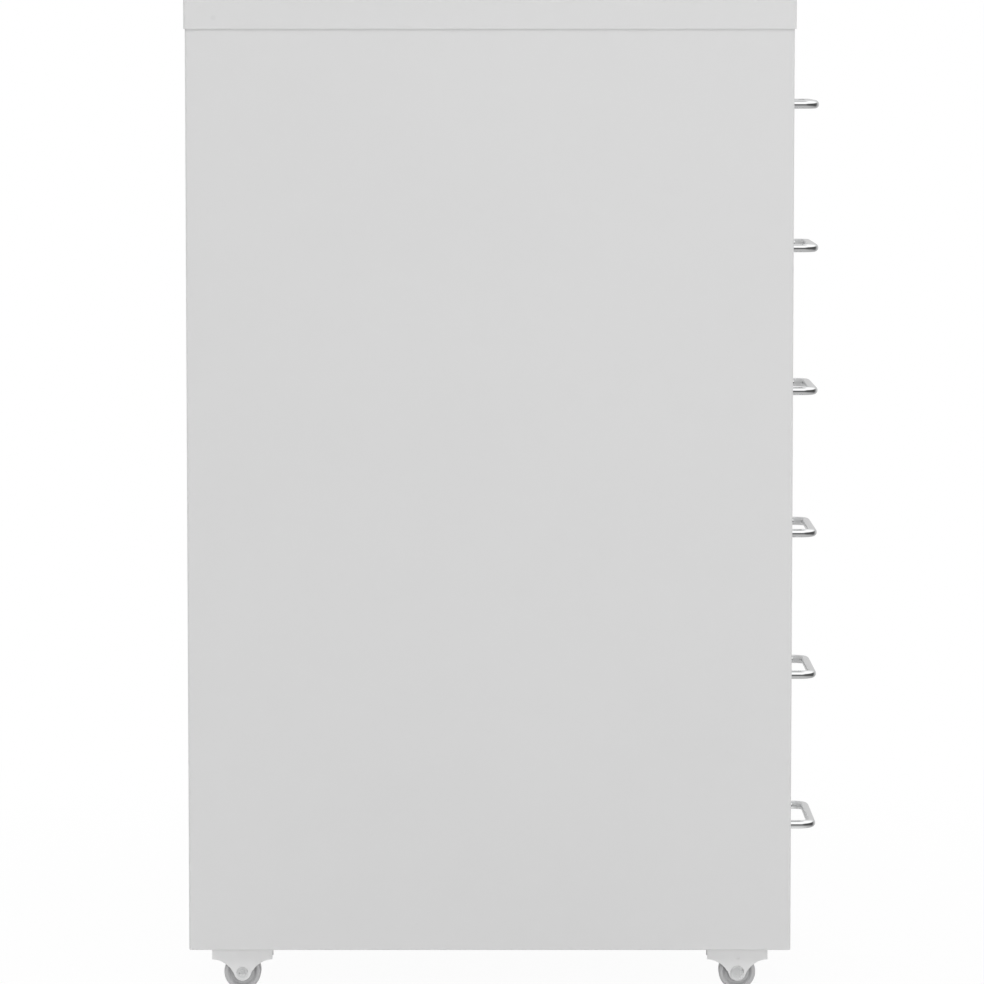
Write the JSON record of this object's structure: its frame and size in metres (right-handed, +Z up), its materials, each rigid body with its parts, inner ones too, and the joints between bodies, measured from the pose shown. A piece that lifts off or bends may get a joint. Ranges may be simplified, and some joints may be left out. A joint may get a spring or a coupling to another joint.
{
  "type": "small metal drawer cabinet",
  "caption": "Narrow steel drawer cabinet on fixed castors, with a folded cover, inset drawers in channel runners and bent-rod pull handles.",
  "frame": {"origin": "on the floor, under the middle of the whole cabinet, handles included", "axes": "+Z up, front towards -Y, +X to the right as seen from the front"},
  "size_m": [0.28, 0.442, 0.689],
  "materials": {
    "body_paint": "light grey powder coat, satin",
    "drawer_paint": "light grey powder coat, satin",
    "runner_steel": "zinc plated",
    "handle_chrome": "bright chrome plate",
    "bracket_steel": "light grey, zinc plated and lacquered",
    "wheel_plastic": "grey moulded plastic",
    "axle_steel": "nickel plated",
    "fastener_steel": "zinc plated"
  },
  "bodies": {
    "cabinet": {"top_cover": "body_paint", "left_side_panel": "body_paint", "right_side_panel": "body_paint", "back_panel": "body_paint", "base_pan": "body_paint", "top_rail": "body_paint", "runner_left_1": "runner_steel", "runner_right_1": "runner_steel", "runner_left_2": "runner_steel", "runner_right_2": "runner_steel", "runner_left_3": "runner_steel", "runner_right_3": "runner_steel", "runner_left_4": "runner_steel", "runner_right_4": "runner_steel", "runner_left_5": "runner_steel", "runner_right_5": "runner_steel", "runner_left_6": "runner_steel", "runner_right_6": "runner_steel", "caster_front_left_bracket": "bracket_steel", "caster_front_left_axle": "axle_steel", "caster_front_right_bracket": "bracket_steel", "caster_front_right_axle": "axle_steel", "caster_rear_left_bracket": "bracket_steel", "caster_rear_left_axle": "axle_steel", "caster_rear_right_bracket": "bracket_steel", "caster_rear_right_axle": "axle_steel", "caster_screws": "fastener_steel", "caster_nuts": "fastener_steel", "cover_nuts": "fastener_steel", "back_rivets": "fastener_steel"},
    "drawer_1": {"drawer_1_box": "drawer_paint", "drawer_1_front": "drawer_paint", "drawer_1_handle": "handle_chrome", "drawer_1_screws": "fastener_steel"},
    "drawer_2": {"drawer_2_box": "drawer_paint", "drawer_2_front": "drawer_paint", "drawer_2_handle": "handle_chrome", "drawer_2_screws": "fastener_steel"},
    "drawer_3": {"drawer_3_box": "drawer_paint", "drawer_3_front": "drawer_paint", "drawer_3_handle": "handle_chrome", "drawer_3_screws": "fastener_steel"},
    "drawer_4": {"drawer_4_box": "drawer_paint", "drawer_4_front": "drawer_paint", "drawer_4_handle": "handle_chrome", "drawer_4_screws": "fastener_steel"},
    "drawer_5": {"drawer_5_box": "drawer_paint", "drawer_5_front": "drawer_paint", "drawer_5_handle": "handle_chrome", "drawer_5_screws": "fastener_steel"},
    "drawer_6": {"drawer_6_box": "drawer_paint", "drawer_6_front": "drawer_paint", "drawer_6_handle": "handle_chrome", "drawer_6_screws": "fastener_steel"},
    "caster_front_left_wheel": {"caster_front_left_wheel": "wheel_plastic"},
    "caster_front_right_wheel": {"caster_front_right_wheel": "wheel_plastic"},
    "caster_rear_left_wheel": {"caster_rear_left_wheel": "wheel_plastic"},
    "caster_rear_right_wheel": {"caster_rear_right_wheel": "wheel_plastic"}
  },
  "joints": [
    {"name": "drawer_1_slide", "type": "slide", "parent": "cabinet", "child": "drawer_1", "axis": [0, -1, 0], "range_m": [0, 0.3]},
    {"name": "drawer_2_slide", "type": "slide", "parent": "cabinet", "child": "drawer_2", "axis": [0, -1, 0], "range_m": [0, 0.3]},
    {"name": "drawer_3_slide", "type": "slide", "parent": "cabinet", "child": "drawer_3", "axis": [0, -1, 0], "range_m": [0, 0.3]},
    {"name": "drawer_4_slide", "type": "slide", "parent": "cabinet", "child": "drawer_4", "axis": [0, -1, 0], "range_m": [0, 0.3]},
    {"name": "drawer_5_slide", "type": "slide", "parent": "cabinet", "child": "drawer_5", "axis": [0, -1, 0], "range_m": [0, 0.3]},
    {"name": "drawer_6_slide", "type": "slide", "parent": "cabinet", "child": "drawer_6", "axis": [0, -1, 0], "range_m": [0, 0.3]},
    {"name": "caster_front_left_spin", "type": "hinge", "parent": "cabinet", "child": "caster_front_left_wheel", "pos_m": [-0.1215, -0.1615, 0.01275], "axis": [1, 0, 0], "continuous": true},
    {"name": "caster_front_right_spin", "type": "hinge", "parent": "cabinet", "child": "caster_front_right_wheel", "pos_m": [0.1215, -0.1615, 0.01275], "axis": [1, 0, 0], "continuous": true},
    {"name": "caster_rear_left_spin", "type": "hinge", "parent": "cabinet", "child": "caster_rear_left_wheel", "pos_m": [-0.1215, 0.1835, 0.01275], "axis": [1, 0, 0], "continuous": true},
    {"name": "caster_rear_right_spin", "type": "hinge", "parent": "cabinet", "child": "caster_rear_right_wheel", "pos_m": [0.1215, 0.1835, 0.01275], "axis": [1, 0, 0], "continuous": true}
  ]
}
